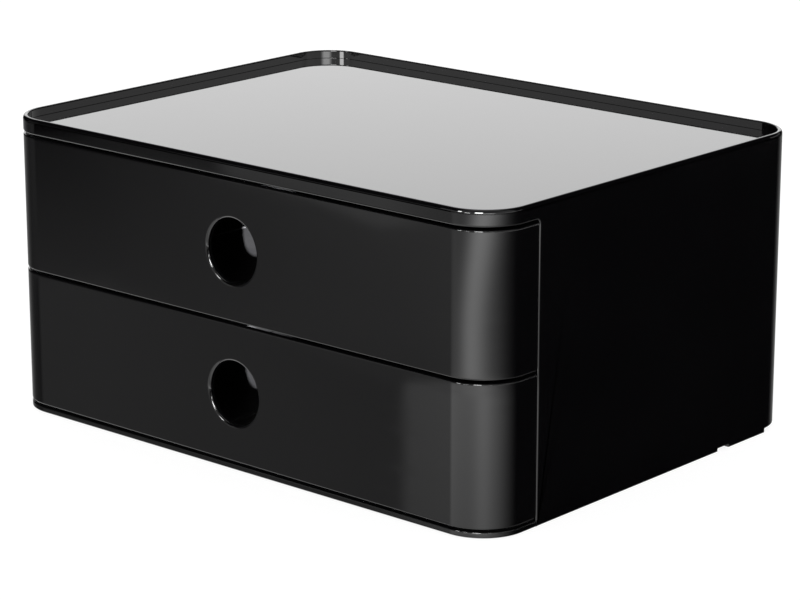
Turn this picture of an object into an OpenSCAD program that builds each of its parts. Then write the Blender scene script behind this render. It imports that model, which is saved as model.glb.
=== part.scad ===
// Two-drawer desk file box: a moulded housing with a tray-like top, a clipped-in base plate,
// four drawer rails, four rubber feet and two drawers with wrap-around fronts.
// Origin: centre of the footprint at the plane the feet stand on. The front faces -Y, +Z is up.

/* [Overall size] */
// Width of the box, left to right
box_w = 260; // [230:1:340]
// Depth of the box, front to back
box_d = 195; // [170:1:280]
// Height of the box on its feet
box_h = 125; // [105:1:180]
// Radius of the four upright corners
corner_r = 19; // [12:0.5:24]

/* [Housing] */
// Thickness of the side walls and the rear wall
wall_t = 2.4; // [2:0.1:3.5]
// Thickness of the top plate
top_t = 2.2; // [1.6:0.1:3]
// Thickness of the raised rim around the top
rim_t = 2; // [1.6:0.1:2.4]
// Height of the rim above the top plate
rim_h = 3.6; // [2.5:0.1:5]
// Height of the plain band above the upper drawer, rim included
rim_band_h = 6.6; // [6:0.1:10]
// Rounding of the rim's outer edge
rim_edge_r = 1.3; // [0.3:0.1:1.4]
// Rounding of the rim's inner edge
rim_inner_r = 0.5; // [0.2:0.1:0.6]
// Distance from the front to the front edge of the side walls
wrap_d = 27.8; // [26:0.1:40]
// Rounding of the top corner of the side wall's front edge
opening_r = 1.6; // [0.8:0.1:3]
// Rounding of the outer edge all round the drawer opening
opening_edge_r = 0.8; // [0.3:0.1:1]
// Rounding of the side wall's lower front corner
wall_foot_r = 0.8; // [0.4:0.1:1.5]
// Rounding of the walls' lower outer edge
wall_edge_r = 0.4; // [0.2:0.1:0.6]
// Fillet where the rim stands on the top plate
rim_fillet_r = 0.5; // [0.3:0.1:1]

/* [Notches in the lower edge] */
// Height of the notches
notch_h = 1.3; // [0.8:0.1:2]
// Length of the short notch in each side wall
notch_len = 7.5; // [5:0.5:12]
// Distance from the rear face to the middle of the short notch
notch_rear = 47.5; // [35:0.5:60]
// Height of the raised rear edge
rear_step_h = 1.8; // [0.8:0.1:2.2]
// Distance from the rear face to where the raised rear edge begins
rear_step = 18.5; // [12:0.5:30]

/* [Base plate] */
// Height of the base band below the lower drawer
base_band_h = 2.3; // [2:0.1:5]
// Thickness of the base band
base_band_t = 2.4; // [1.8:0.1:3]
// Rounding of the base band's outer edges
base_edge_r = 0.4; // [0.2:0.1:0.8]
// Thickness of the base plate's floor
base_t = 1.6; // [1.2:0.1:2]
// Clearance between the base plate and the housing walls
base_fit = 0.15; // [0.1:0.05:0.3]
// Height of the upstand that stiffens the base plate's edge
upstand_h = 6; // [4:0.5:10]
// Thickness of the upstand and of the ribs
rib_t = 1.4; // [1:0.1:2]
// Number of ribs from front to back
rib_count_x = 6; // [3:1:8]
// Number of ribs from left to right
rib_count_y = 4; // [2:1:6]
// Length of a snap lug on the upstand
snap_len = 14; // [8:1:20]
// Thickness of a snap lug
snap_t = 1.2; // [0.8:0.1:2]
// How far a snap lug reaches into the side wall
snap_depth = 0.5; // [0.3:0.1:0.8]
// Number of snap lugs on each side
snap_count = 3; // [2:1:4]

/* [Feet] */
// How far the feet stand out below the housing
foot_proud = 0.3; // [0.2:0.1:1.5]
// Diameter of a foot
foot_d = 14; // [10:0.5:20]
// Rounding of a foot's lower edge
foot_edge_r = 0.3; // [0.1:0.1:0.5]
// Distance of each foot from the side
foot_inset_x = 28; // [25:0.5:45]
// Distance of each foot from the front or the rear
foot_inset_y = 26; // [25:0.5:45]
// Width of the collar that locates a foot
foot_collar_t = 1.2; // [0.8:0.1:2]
// Clearance between a foot and its collar
foot_fit = 0.3; // [0.2:0.05:0.5]

/* [Drawer fronts] */
// Gap above the upper front and below the lower front
front_gap = 1; // [0.6:0.1:2]
// Gap between the two fronts
mid_gap = 1.2; // [0.8:0.1:2]
// Thickness of a drawer front
front_t = 2.4; // [2:0.1:3]
// Rounding of a front's outer edges
front_edge_r = 0.6; // [0.3:0.1:1]
// Radius of the four corners of a front's outline, at its two ends
front_corner_r = 1.1; // [1:0.1:2]
// Gap between a front's end and the side wall's front edge
side_gap = 0.5; // [0.3:0.1:1]
// Diameter of the finger hole
hole_d = 26; // [20:0.5:32]
// Rounding of the finger hole's outer edge
hole_lip_r = 1.2; // [0.6:0.1:1.5]
// Rounding of the finger hole's rear edge
hole_rear_r = 0.4; // [0.2:0.1:0.5]

/* [Drawer trays] */
// Thickness of a tray's walls
tray_t = 1.8; // [1.4:0.1:2.5]
// Thickness of a tray's floor
tray_floor_t = 2; // [1.5:0.1:3]
// Space between the housing's side wall and a tray's side
side_space = 7.1; // [6.5:0.1:12]
// Space behind a closed tray
rear_space = 4; // [2:0.5:10]
// Height of a tray's underside above the lower edge of its front
tray_lift = 1.2; // [0.8:0.1:2]
// Height of a tray's rim below the upper edge of its front
tray_drop = 5; // [4.5:0.1:12]
// Outer radius of a tray's upright corners, or what fits the box's corner if that is more
tray_r = 10; // [9.5:0.5:14]
// Rounding of a tray's rim
tray_rim_r = 0.5; // [0.3:0.1:0.6]
// Rounding round a tray's underside
tray_foot_r = 1.2; // [0.6:0.1:1.3]
// Fillet between a tray's floor and its walls
tray_fillet_r = 2.5; // [1:0.5:3]
// Thickness of the runner flange along a tray's sides
flange_t = 2; // [1.5:0.1:3]
// Height of the ribs inside a tray's floor
floor_rib_h = 0.6; // [0.4:0.1:1]
// Number of ribs inside a tray's floor
floor_rib_count = 4; // [2:1:8]
// Clearance between a tray and its front
clip_fit = 0.1; // [0.05:0.05:0.3]
// Distance of a clip hook's middle from the side
hook_inset = 53; // [48:1:70]
// Height of the hooks above a tray's floor, and below its rim
hook_rise = 6; // [4:0.5:10]
// Width of a clip hook on a front
hook_w = 10; // [6:0.5:16]
// Thickness of a clip hook
hook_t = 2; // [1.5:0.1:3]
// How far a hook's barb stands up behind the tray's wall
barb_h = 0.9; // [0.5:0.1:1.5]
// Clearance around a hook in its window
hook_fit = 0.3; // [0.2:0.1:0.6]
// Clearance of the finger window in the tray around the hole's rear edge
window_fit = 2.5; // [1:0.5:5]

/* [Rails] */
// Thickness of a rail's web and ledges
rail_t = 1.6; // [1.2:0.1:2]
// Distance of a rail's ends from the side wall's front edge and from the rear corner
rail_inset = 1; // [0.5:0.5:5]
// Clearance below the flange that runs in a rail
ride_gap = 0.2; // [0.1:0.05:0.3]
// Clearance above the flange that runs in a rail
lift_gap = 0.4; // [0.2:0.1:0.8]
// Sideways clearance in a rail
rail_fit = 0.4; // [0.3:0.1:0.8]
// How deep a stop lug and a stop block overlap sideways
stop_bite = 0.8; // [0.4:0.1:1]
// Length of a stop block at a rail's front end
stop_len = 4; // [2:0.5:8]
// Length of a stop lug on a tray's flange
lug_len = 8; // [4:0.5:12]
// How far a drawer pulls out
travel = 120; // [60:1:120]
// Space left between lug and stop block at full travel
stop_gap = 0.4; // [0.3:0.1:1]
// Length of a locating pad on the back of a rail
pad_len = 12; // [8:0.5:20]
// Height of a locating pad
pad_h = 3.4; // [2.5:0.1:5]
// Depth of the pockets for the pads in the side wall
pocket_depth = 1; // [0.8:0.1:1.2]
// Clearance around a pad in its pocket
pad_fit = 0.2; // [0.1:0.05:0.4]
// Number of pads on a rail
pad_count = 3; // [2:1:4]

/* [Hidden] */
$fn = 96;

gloss_black = [0.06, 0.06, 0.065];
satin_black = [0.12, 0.12, 0.125];
rail_grey = [0.25, 0.25, 0.26];
rubber_grey = [0.35, 0.35, 0.34];

// A cut runs this far past the faces that it leaves through
past = 1;
// Pieces of one moulding run into each other this far
sink = 0.3;
// The rim's two roundings leave a flat crest at least this wide
crest = 0.2;

// Heights, from the feet upwards
shell_z = foot_proud;
base_top_z = shell_z + base_band_h;
front_h = (box_h - foot_proud - base_band_h - 2 * front_gap - mid_gap - rim_band_h) / 2;
lower_z = base_top_z + front_gap;
upper_z = lower_z + front_h + mid_gap;
band_z = box_h - rim_band_h;
plate_top_z = box_h - rim_h;
plate_z = plate_top_z - top_t;
rim_outer_r = min(rim_edge_r, rim_t - rim_inner_r - crest);

// Places in the plan
front_y = -box_d / 2;
rear_y = box_d / 2;
side_x = box_w / 2;
opening_y = front_y + wrap_d;
inner_x = side_x - wall_t;
inner_r = corner_r - wall_t;
wrap_end_y = opening_y - side_gap;

// Tray and rail sizes
tray_corner_r = max(tray_r, corner_r - wall_t - side_space);
tray_x = inner_x - side_space;
tray_front_y = front_y + front_t + clip_fit;
tray_rear_y = rear_y - wall_t - rear_space;
tray_h = front_h - tray_lift - tray_drop;
web_x = inner_x - rail_t;
lug_x = web_x - rail_fit;
stop_x = lug_x - stop_bite;
flange_x = stop_x - rail_fit;
rail_front_y = opening_y + rail_inset;
rail_rear_y = rear_y - corner_r - rail_inset;
flange_rear_y = rail_rear_y - rail_fit;
lug_y = rail_front_y + stop_len + stop_gap + travel;
channel_h = flange_t + ride_gap + lift_gap;
rail_h = channel_h + 2 * rail_t;
ledge_x = tray_x + rail_fit;

// A rectangle with round corners, centred on the origin
module round_rect(w, d, r) {
    square([w - 2 * r, d], center = true);
    square([w, d - 2 * r], center = true);
    for (x = [-1, 1], y = [-1, 1])
        translate([x * (w / 2 - r), y * (d / 2 - r)])
            circle(r = r);
}

// What a rounding of radius r takes off a corner at the origin, where the material lies towards +X and +Y
module cove(r, out = past) {
    difference() {
        translate([-out, -out])
            square(r + out);
        translate([r, r])
            circle(r = r);
    }
}

// A fillet of radius r to the left of a wall that stands on a floor; the inner corner is the origin
module fillet(r) {
    difference() {
        translate([-r, -sink])
            square(r + sink);
        translate([-r, r])
            circle(r = r);
    }
}

// The same cut for a corner whose material lies towards -X and +Y
module left_cove(r, out = past) {
    mirror([1, 0])
        cove(r, out);
}

// A plate with round corners, from z up to z + h
module round_plate(w, d, r, z, h) {
    translate([0, 0, z])
        linear_extrude(h)
            round_rect(w, d, r);
}

// A section that carries a wall straight back along +Y from y0 to y1, at the right-hand side
module run_back(x, y0, y1) {
    translate([x, y1, 0])
        rotate([90, 0, 0])
            linear_extrude(y1 - y0)
                children();
}

// A section that carries a wall along the rear, or along the front when turned half round
module run_across(y, length) {
    rotate([0, 0, 90])
        translate([y, 0, 0])
            rotate([90, 0, 0])
                linear_extrude(length, center = true)
                    children();
}

// A quarter of a round corner: the section is turned about the corner's own centre
module corner_turn(half_x, half_y, r) {
    translate([half_x - r, half_y - r, 0])
        rotate_extrude(angle = 90)
            translate([r, 0])
                children();
}

// A wall all round, from a section whose x = 0 is the outer face
module wall_ring(half_x, half_y, r) {
    for (m = [0, 1])
        mirror([m, 0, 0]) {
            run_back(half_x, r - half_y, half_y - r)
                children();
            for (n = [0, 1])
                mirror([0, n, 0])
                    corner_turn(half_x, half_y, r)
                        children();
        }
    for (n = [0, 1])
        mirror([0, n, 0])
            run_across(half_y, 2 * (half_x - r))
                children();
}

// The box's wall along the front and round both corners only, ending at y_end
module wall_front(y_end) {
    for (m = [0, 1])
        mirror([m, 0, 0]) {
            run_back(side_x, front_y + corner_r, y_end)
                children();
            mirror([0, 1, 0])
                corner_turn(side_x, rear_y, corner_r)
                    children();
        }
    mirror([0, 1, 0])
        run_across(rear_y, box_w - 2 * corner_r)
            children();
}

// Section of the housing wall with the rounded rim on top
module housing_section() {
    difference() {
        translate([-wall_t, shell_z])
            square([wall_t, plate_top_z - shell_z]);
        translate([0, shell_z])
            left_cove(wall_edge_r);
    }
    difference() {
        translate([-rim_t, plate_top_z - sink])
            square([rim_t, rim_h + sink]);
        translate([0, box_h])
            rotate(180)
                cove(rim_outer_r);
        translate([-rim_t, box_h])
            mirror([0, 1])
                cove(rim_inner_r);
    }
    translate([-rim_t, plate_top_z])
        fillet(rim_fillet_r);
}

// Section of a band of height h and thickness t with its two outer edges rounded
module band_section(z, h, t, r) {
    translate([-t, z])
        square([t - r, h]);
    translate([-t, z + r])
        square([t, h - 2 * r]);
    for (y = [z + r, z + h - r])
        translate([-r, y])
            circle(r = r);
}

// What is cut away below the rim band to let the drawers in, drawn from the side
module opening_profile() {
    difference() {
        translate([front_y - past, -past])
            square([wrap_d + past, band_z + past]);
        translate([opening_y - opening_r, band_z - opening_r])
            square(opening_r + past);
    }
    translate([opening_y - opening_r, band_z - opening_r])
        circle(r = opening_r);
    translate([opening_y, shell_z])
        cove(wall_foot_r);
}

// The rounding of the outer edge round the opening: along the band, round its corner and down the side wall
module opening_edge() {
    wall_front(opening_y - opening_r)
        translate([0, band_z])
            left_cove(opening_edge_r);
    for (m = [0, 1])
        mirror([m, 0, 0])
            translate([side_x, opening_y - opening_r, 0]) {
                translate([0, opening_r, -past])
                    linear_extrude(band_z - opening_r + past)
                        left_cove(opening_edge_r);
                translate([0, 0, band_z - opening_r])
                    rotate([90, 0, -90])
                        mirror([1, 0, 0])
                            rotate_extrude(angle = 90)
                                translate([opening_r, 0])
                                    cove(opening_edge_r, opening_r / 2);
            }
}

// Places of the pads along a rail
function pad_y(i) = rail_front_y + (rail_rear_y - rail_front_y) * (i + 0.5) / pad_count;

// Height of the middle of the rail channel, for a drawer whose front starts at z
function rail_mid(z) = z + tray_lift + tray_h - flange_t / 2 + (lift_gap - ride_gap) / 2;

module pad_pockets(z) {
    for (i = [0 : pad_count - 1], s = [-1, 1])
        translate([s * (inner_x + pocket_depth / 2 - sink), pad_y(i), rail_mid(z)])
            cube([pocket_depth + 2 * sink, pad_len + 2 * pad_fit, pad_h + 2 * pad_fit], center = true);
}

// Notches along the lower edge: a short one in each side wall, and the raised rear edge
module edge_notches() {
    for (s = [-1, 1])
        translate([s * side_x, rear_y - notch_rear, shell_z])
            cube([2 * (wall_t + past), notch_len, 2 * notch_h], center = true);
    translate([-side_x - past, rear_y - rear_step, shell_z - past])
        cube([box_w + 2 * past, rear_step + past, rear_step_h + past]);
}

// Housing: side walls, rear wall, top plate and rim in one moulding, open below and in front
module housing_shell() {
    color(gloss_black)
        difference() {
            union() {
                wall_ring(side_x, rear_y, corner_r)
                    housing_section();
                round_plate(box_w - 2 * sink, box_d - 2 * sink, corner_r - sink, plate_z, top_t);
            }
            translate([-side_x - past, 0, 0])
                rotate([90, 0, 90])
                    linear_extrude(box_w + 2 * past)
                        opening_profile();
            opening_edge();
            pad_pockets(upper_z);
            pad_pockets(lower_z);
            base_snaps(0, pad_fit);
            edge_notches();
        }
}

// Outline of the base plate: inside the walls, and out to the front face in front of them
module base_outline() {
    intersection() {
        round_rect(2 * (inner_x - base_fit), box_d - 2 * (wall_t + base_fit), inner_r - base_fit);
        translate([-side_x, opening_y - past])
            square([box_w, box_d]);
    }
    intersection() {
        round_rect(box_w - 2 * sink, box_d - 2 * sink, corner_r - sink);
        translate([-side_x, front_y])
            square([box_w, wrap_d - base_fit]);
    }
}

foot_x = side_x - foot_inset_x;
foot_y = rear_y - foot_inset_y;
base_under_z = base_top_z - base_t;
rib_drop = base_under_z - shell_z;

// Ribs under the base plate, left out where a foot sits
module base_ribs() {
    rib_w = 2 * (inner_x - base_fit) - 2 * corner_r;
    rib_d = box_d - 2 * corner_r;
    difference() {
        translate([0, 0, shell_z])
            linear_extrude(rib_drop + sink) {
                for (i = [0 : rib_count_x - 1])
                    translate([rib_w * ((i + 0.5) / rib_count_x - 0.5), 0])
                        square([rib_t, rib_d], center = true);
                for (i = [0 : rib_count_y - 1])
                    translate([0, rib_d * ((i + 0.5) / rib_count_y - 0.5)])
                        square([rib_w, rib_t], center = true);
            }
        for (x = [-1, 1], y = [-1, 1])
            translate([x * foot_x, y * foot_y, 0])
                cylinder(d = foot_d + 2 * foot_fit + foot_collar_t, h = base_under_z);
    }
}

// Rings that locate the feet
module foot_collars() {
    for (x = [-1, 1], y = [-1, 1])
        translate([x * foot_x, y * foot_y, shell_z])
            difference() {
                cylinder(d = foot_d + 2 * foot_fit + 2 * foot_collar_t, h = rib_drop + sink);
                translate([0, 0, -past])
                    cylinder(d = foot_d + 2 * foot_fit, h = rib_drop + past);
            }
}

// Upstand along both sides and the rear that stiffens the base plate
module base_upstand() {
    w = 2 * (inner_x - base_fit);
    d = box_d - 2 * (wall_t + base_fit);
    r = inner_r - base_fit;
    translate([0, 0, base_top_z - sink])
        linear_extrude(upstand_h + sink)
            difference() {
                intersection() {
                    round_rect(w, d, r);
                    translate([-side_x, opening_y + base_fit])
                        square([box_w, box_d]);
                }
                round_rect(w - 2 * rib_t, d - 2 * rib_t, r - rib_t);
            }
}

// Snap lugs on the upstand; the housing's pockets for them are the same shape with some room
module base_snaps(start, room) {
    for (i = [0 : snap_count - 1], s = [-1, 1])
        translate([
            s * (inner_x - start + (start + snap_depth + room) / 2 - sink / 2),
            opening_y + (rear_y - rear_step - opening_y) * (i + 0.5) / snap_count,
            base_top_z + upstand_h / 2
        ])
            cube([
                start + snap_depth + room + sink,
                snap_len + 2 * room,
                snap_t + 2 * room
            ], center = true);
}

module base_plate() {
    color(satin_black) {
        translate([0, 0, base_under_z])
            linear_extrude(base_t)
                base_outline();
        wall_front(opening_y - base_fit)
            band_section(shell_z, base_band_h, base_band_t, base_edge_r);
        base_ribs();
        foot_collars();
        base_upstand();
        base_snaps(base_fit, 0);
    }
}

// One rubber foot, glued to the underside of the base plate
module foot(x, y) {
    color(rubber_grey)
        translate([x * foot_x, y * foot_y, 0])
            rotate_extrude() {
                translate([0, foot_edge_r])
                    square([foot_d / 2, base_under_z - foot_edge_r]);
                square([foot_d / 2 - foot_edge_r, base_under_z]);
                translate([foot_d / 2 - foot_edge_r, foot_edge_r])
                    circle(r = foot_edge_r);
            }
}

// A C-shaped rail on the right-hand wall, for the drawer whose front starts at z
module rail(z) {
    mid = rail_mid(z);
    length = rail_rear_y - rail_front_y;
    color(rail_grey) {
        translate([web_x, rail_front_y, mid - rail_h / 2])
            cube([rail_t, length, rail_h]);
        for (top = [0, 1])
            translate([ledge_x, rail_front_y, mid - rail_h / 2 + top * (rail_h - rail_t)])
                cube([web_x - ledge_x + sink, length, rail_t]);
        translate([stop_x + rail_fit, rail_front_y, mid - channel_h / 2 - sink])
            cube([web_x - stop_x - rail_fit + sink, stop_len, channel_h + 2 * sink]);
        for (i = [0 : pad_count - 1])
            translate([inner_x - sink, pad_y(i) - pad_len / 2, mid - pad_h / 2])
                cube([pocket_depth - pad_fit + sink, pad_len, pad_h]);
    }
}

// Width of the space that the end web of a front closes
front_t_to_tray = side_x - front_t - tray_x - clip_fit;

// Places of the four clip hooks on a front
hook_x = side_x - hook_inset;
hook_low = tray_lift + tray_floor_t + hook_rise;
hook_high = tray_lift + tray_h - hook_rise;

// A hook behind the front: a tongue through the tray's wall with a barb on its upper side
module hook() {
    reach = clip_fit + tray_t + hook_fit;
    rotate([90, 0, 90])
        linear_extrude(hook_w, center = true)
            polygon([
                [-sink, 0],
                [reach + 2 * barb_h, 0],
                [reach + 2 * barb_h, hook_t - barb_h / 2],
                [reach, hook_t + barb_h],
                [reach, hook_t],
                [-sink, hook_t]
            ]);
}

// Web that closes the space between a front's return and the tray's side
module front_end_web(z) {
    translate([tray_x + clip_fit, wrap_end_y - front_t, z + front_gap])
        cube([front_t_to_tray + sink, front_t, front_h - 2 * front_gap]);
}

// What is cut off one end of a front so that its two corners and its upright edge are round.
// Drawn at the lower corner: X runs inwards from the outer face, Y forwards from the end, Z up.
module front_end_cut() {
    translate([0, 0, front_corner_r])
        linear_extrude(front_h / 2 - front_corner_r + sink)
            cove(front_edge_r);
    rotate([90, 0, 90])
        translate([0, 0, -past])
            linear_extrude(front_t + past)
                cove(front_corner_r);
    translate([0, front_corner_r, front_corner_r])
        rotate([90, 0, 90])
            rotate([0, 0, 180])
                rotate_extrude(angle = 90)
                    translate([front_corner_r, 0])
                        left_cove(front_edge_r);
}

// Both ends of a front whose lower edge is at z
module front_end_cuts(z) {
    for (m = [0, 1], top = [0, 1])
        mirror([m, 0, 0])
            translate([side_x, wrap_end_y, z + top * front_h])
                rotate([0, 0, 180])
                    mirror([0, 0, top])
                        front_end_cut();
}

// Wrap-around drawer front with its round finger hole, its lower edge at z
module drawer_front(z) {
    hole_z = z + front_h / 2;
    color(gloss_black) {
        difference() {
            wall_front(wrap_end_y)
                band_section(z, front_h, front_t, front_edge_r);
            front_end_cuts(z);
            translate([0, front_y, hole_z])
                rotate([-90, 0, 0])
                    finger_hole();
        }
        for (m = [0, 1])
            mirror([m, 0, 0]) {
                front_end_web(z);
                for (h = [hook_low, hook_high])
                    translate([hook_x, front_y + front_t, z + h])
                        hook();
            }
    }
}

// The cut for a finger hole, with a flared lip at the outer face and a small rounding behind
module finger_hole() {
    translate([0, 0, -past])
        cylinder(d = hole_d, h = front_t + 2 * past);
    rotate_extrude()
        translate([hole_d / 2, 0]) {
            cove(hole_lip_r);
            translate([0, front_t])
                mirror([0, 1])
                    cove(hole_rear_r);
        }
}

// Outline of a tray, its front face just behind the drawer front
module tray_outline(inset) {
    depth = tray_rear_y - tray_front_y;
    translate([0, (tray_rear_y + tray_front_y) / 2])
        round_rect(2 * (tray_x - inset), depth - 2 * inset, tray_corner_r - inset);
}

// Section of a tray's wall: round rim, rounded foot and a fillet down to the floor
module tray_section() {
    difference() {
        translate([-tray_t, 0])
            square([tray_t, tray_h]);
        left_cove(tray_foot_r);
        translate([0, tray_h])
            rotate(180)
                cove(tray_rim_r);
        translate([-tray_t, tray_h])
            mirror([0, 1])
                cove(tray_rim_r);
    }
    translate([-tray_t, tray_floor_t])
        fillet(tray_fillet_r);
}

// Flange along one side of a tray, with the stop lug that meets the rail's stop block
module tray_flange(z) {
    translate([tray_x - sink, wrap_end_y, z])
        cube([flange_x - tray_x + sink, flange_rear_y - wrap_end_y, flange_t]);
    translate([flange_x - sink, lug_y, z])
        cube([lug_x - flange_x + sink, lug_len, flange_t]);
}

// Open tray behind a front whose lower edge is at z
module drawer_tray(z) {
    floor_z = z + tray_lift;
    inner_d = tray_rear_y - tray_front_y - 2 * tray_t;
    color(satin_black)
        difference() {
            union() {
                translate([0, 0, floor_z])
                    linear_extrude(tray_floor_t)
                        tray_outline((tray_foot_r + tray_t) / 2);
                translate([0, (tray_rear_y + tray_front_y) / 2, floor_z])
                    wall_ring(tray_x, (tray_rear_y - tray_front_y) / 2, tray_corner_r)
                        tray_section();
                for (m = [0, 1])
                    mirror([m, 0, 0])
                        tray_flange(floor_z + tray_h - flange_t);
                for (i = [0 : floor_rib_count - 1])
                    translate([
                        2 * tray_x * ((i + 0.5) / floor_rib_count - 0.5),
                        (tray_rear_y + tray_front_y) / 2,
                        floor_z + tray_floor_t
                    ])
                        cube([rib_t, inner_d - 2 * tray_corner_r, 2 * floor_rib_h], center = true);
            }
            translate([0, front_y, z + front_h / 2])
                rotate([-90, 0, 0])
                    cylinder(d = hole_d + 2 * window_fit, h = 2 * front_t + 2 * tray_t);
            for (s = [-1, 1], h = [hook_low, hook_high])
                translate([s * hook_x, tray_front_y, z + h + hook_t / 2])
                    cube([hook_w + 2 * hook_fit, 4 * tray_t, hook_t + 2 * hook_fit], center = true);
        }
}

housing_shell();
base_plate();
mirror([1, 0, 0]) rail(upper_z);  // upper_rail_left
rail(upper_z);  // upper_rail_right
mirror([1, 0, 0]) rail(lower_z);  // lower_rail_left
rail(lower_z);  // lower_rail_right
foot(-1, -1);  // foot_front_left
foot(1, -1);  // foot_front_right
foot(-1, 1);  // foot_rear_left
foot(1, 1);  // foot_rear_right
drawer_front(upper_z);  // drawer_upper_front
drawer_tray(upper_z);  // drawer_upper_tray
drawer_front(lower_z);  // drawer_lower_front
drawer_tray(lower_z);  // drawer_lower_tray
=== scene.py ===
# %% [markdown]
# # A two-drawer desk box in mirror-gloss black
# The box stands on a desk: a moulded housing whose top is a shallow tray, and two drawers whose fronts wrap
# round both front corners and open by a round finger hole. Its construction comes from the packed model,
# which is loaded first and never moved. What is made here are smoother skins for its pieces, because
# polished black plastic shows every facet, and then the plastics themselves, the light and the camera.

# %% Load the frame
import math
import bmesh
import bpy
import numpy as np
from mathutils import Matrix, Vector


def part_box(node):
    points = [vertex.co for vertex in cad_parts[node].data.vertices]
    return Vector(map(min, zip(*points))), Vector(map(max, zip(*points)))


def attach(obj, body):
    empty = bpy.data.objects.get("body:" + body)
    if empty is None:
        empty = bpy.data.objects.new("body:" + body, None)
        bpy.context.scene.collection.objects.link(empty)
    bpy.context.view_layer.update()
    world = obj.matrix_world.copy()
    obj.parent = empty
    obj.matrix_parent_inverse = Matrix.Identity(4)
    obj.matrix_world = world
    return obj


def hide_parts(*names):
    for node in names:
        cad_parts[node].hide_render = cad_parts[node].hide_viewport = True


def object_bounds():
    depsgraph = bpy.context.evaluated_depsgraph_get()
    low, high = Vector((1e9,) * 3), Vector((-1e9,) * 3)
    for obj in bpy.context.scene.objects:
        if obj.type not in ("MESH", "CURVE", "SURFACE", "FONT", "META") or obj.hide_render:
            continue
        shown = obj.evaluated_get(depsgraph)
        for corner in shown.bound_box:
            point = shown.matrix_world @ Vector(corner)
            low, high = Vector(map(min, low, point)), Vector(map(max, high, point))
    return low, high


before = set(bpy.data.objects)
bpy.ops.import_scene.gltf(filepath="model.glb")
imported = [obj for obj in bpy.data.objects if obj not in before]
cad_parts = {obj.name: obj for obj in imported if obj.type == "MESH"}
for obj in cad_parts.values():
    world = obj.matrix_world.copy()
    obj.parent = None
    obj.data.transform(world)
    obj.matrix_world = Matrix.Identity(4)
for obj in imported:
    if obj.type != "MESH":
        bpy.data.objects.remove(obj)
cad_box = [list(corner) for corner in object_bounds()]
print("packed model, lowest and highest corner:", cad_box)

# %% [markdown]
# ## The sizes
# Where a size can be read from the packed model it is read there, so that the skins follow it. Radii, wall
# thicknesses and clearances can't be read from boxes, and are named here in metres, as the moulds have
# them.

# %% Sizes of the box
MM = 0.001
half_w, half_d, box_h = cad_box[1]
corner_r = 19 * MM
wall_t = 2.4 * MM
shell_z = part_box("housing_shell")[0].z
DRAWERS = ("lower", "upper")
front_low = {d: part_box(f"drawer_{d}_front")[0].z for d in DRAWERS}
front_high = {d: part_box(f"drawer_{d}_front")[1].z for d in DRAWERS}
front_end_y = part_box("drawer_upper_front")[1].y
side_gap = 0.5 * MM
opening_y = front_end_y + side_gap
front_gap = 1 * MM
band_z = front_high["upper"] + front_gap
base_band_z = front_low["lower"] - front_gap
print(f"rim band from {band_z / MM:.2f} mm up, base band up to {base_band_z / MM:.2f} mm")

# %% [markdown]
# ## Walking round a box
# Nearly every piece follows the same outline: a rectangle with round corners. It is easiest to think of the
# wall as a strip of paper that is wrapped round it. A place on the strip is its length s along the outer
# face, its height z, and how far it lies behind the outer face, the inset. One function wraps any array of
# such places.

# %% Outline of a box with round corners
def outline(half_x, half_y, radius, centre_y=0.0):
    """Returns place(s, inset, z) and the marks along the strip.

    The strip starts at the middle of the front and runs to the right. A corner's pivot stays put while
    the direction turns by a quarter; between corners the pivot slides and the direction is fixed. So
    each point is pivot(s) + (radius - inset) * direction(s), and both come from one piecewise linear
    reading of s.
    """
    flat_x, flat_y = half_x - radius, half_y - radius
    quarter = radius * math.pi / 2
    runs = [flat_x, quarter, 2 * flat_y, quarter, 2 * flat_x, quarter, 2 * flat_y, quarter, flat_x]
    marks = np.concatenate([[0], np.cumsum(runs)])
    turn = np.radians([0, 0, 90, 90, 180, 180, 270, 270, 360, 360])
    pivot_x = flat_x * np.array([0, 1, 1, 1, 1, -1, -1, -1, -1, 0])
    pivot_y = flat_y * np.array([-1, -1, -1, 1, 1, 1, 1, -1, -1, -1]) + centre_y

    def place(s, inset, z):
        s, inset, z = np.broadcast_arrays(s, inset, z)
        s = np.mod(s, marks[-1])
        angle, reach = np.interp(s, marks, turn), radius - inset
        x = np.interp(s, marks, pivot_x) + reach * np.sin(angle)
        y = np.interp(s, marks, pivot_y) - reach * np.cos(angle)
        return np.stack([x, y, z], -1)

    return place, marks


box_place, box_marks = outline(half_w, half_d, corner_r)
CORNER_STEPS = 24


def round_corners(marks, corners, steps=CORNER_STEPS):
    """Places along the strip across some of its round corners, which start at the given marks."""
    return [np.linspace(marks[i], marks[i + 1], steps + 1) for i in corners]


def side_s(y):
    """Place along the strip of a point on the right-hand side wall."""
    return box_marks[2] + y + half_d - corner_r


print(f"the strip is {box_marks[-1] / MM:.1f} mm long")

# %% [markdown]
# ## Rounded corners in a drawing
# A moulding has no sharp edges: each is a small arc, and on polished plastic that arc is the bright line
# that draws the shape. A profile is written as its sharp corners and one radius for each. Beside each arc a
# guard point is added, so that smooth shading stops there and the flat face keeps its exact normal.

# %% A polyline with round corners
GUARD = 0.12 * MM
FINE_STEPS = 8


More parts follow.
